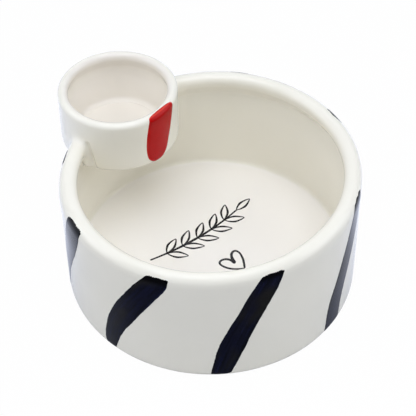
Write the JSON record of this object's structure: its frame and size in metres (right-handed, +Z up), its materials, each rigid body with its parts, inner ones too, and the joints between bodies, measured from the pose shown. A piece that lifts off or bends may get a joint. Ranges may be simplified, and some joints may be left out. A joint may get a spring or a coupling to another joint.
{
  "type": "chip and dip server",
  "caption": "Straight-walled glazed ceramic serving bowl with a round dip cup joined into its wall, slanting brushed marks outside and a line-drawn heart and sprig inside.",
  "frame": {"origin": "centre of the foot ring, on the plane that the bowl stands on", "axes": "+Z up along the bowl's axis; the dip cup stands at 137 degrees round the bowl from +X, so the open front faces -Y"},
  "size_m": [0.2193, 0.216, 0.1252],
  "materials": {
    "white_glaze": "gloss white glaze, dry clay on the foot ring",
    "navy_brushwork": "brushed blue-black fired colour under gloss",
    "red_enamel": "thick glossy red enamel",
    "black_line": "thin fired black line"
  },
  "bodies": {
    "root": {"bowl": "white_glaze", "dip_cup": "white_glaze", "inner_luting_left": "white_glaze", "inner_luting_right": "white_glaze", "outer_luting_left": "white_glaze", "outer_luting_right": "white_glaze", "under_luting_inside": "white_glaze", "under_luting_outside": "white_glaze", "brush_mark_1": "navy_brushwork", "brush_mark_2": "navy_brushwork", "brush_mark_3": "navy_brushwork", "brush_mark_4": "navy_brushwork", "brush_mark_5": "navy_brushwork", "brush_mark_6": "navy_brushwork", "brush_mark_7": "navy_brushwork", "brush_mark_8": "navy_brushwork", "red_mark": "red_enamel", "heart_outline": "black_line", "leaf_sprig": "black_line"}
  },
  "joints": []
}
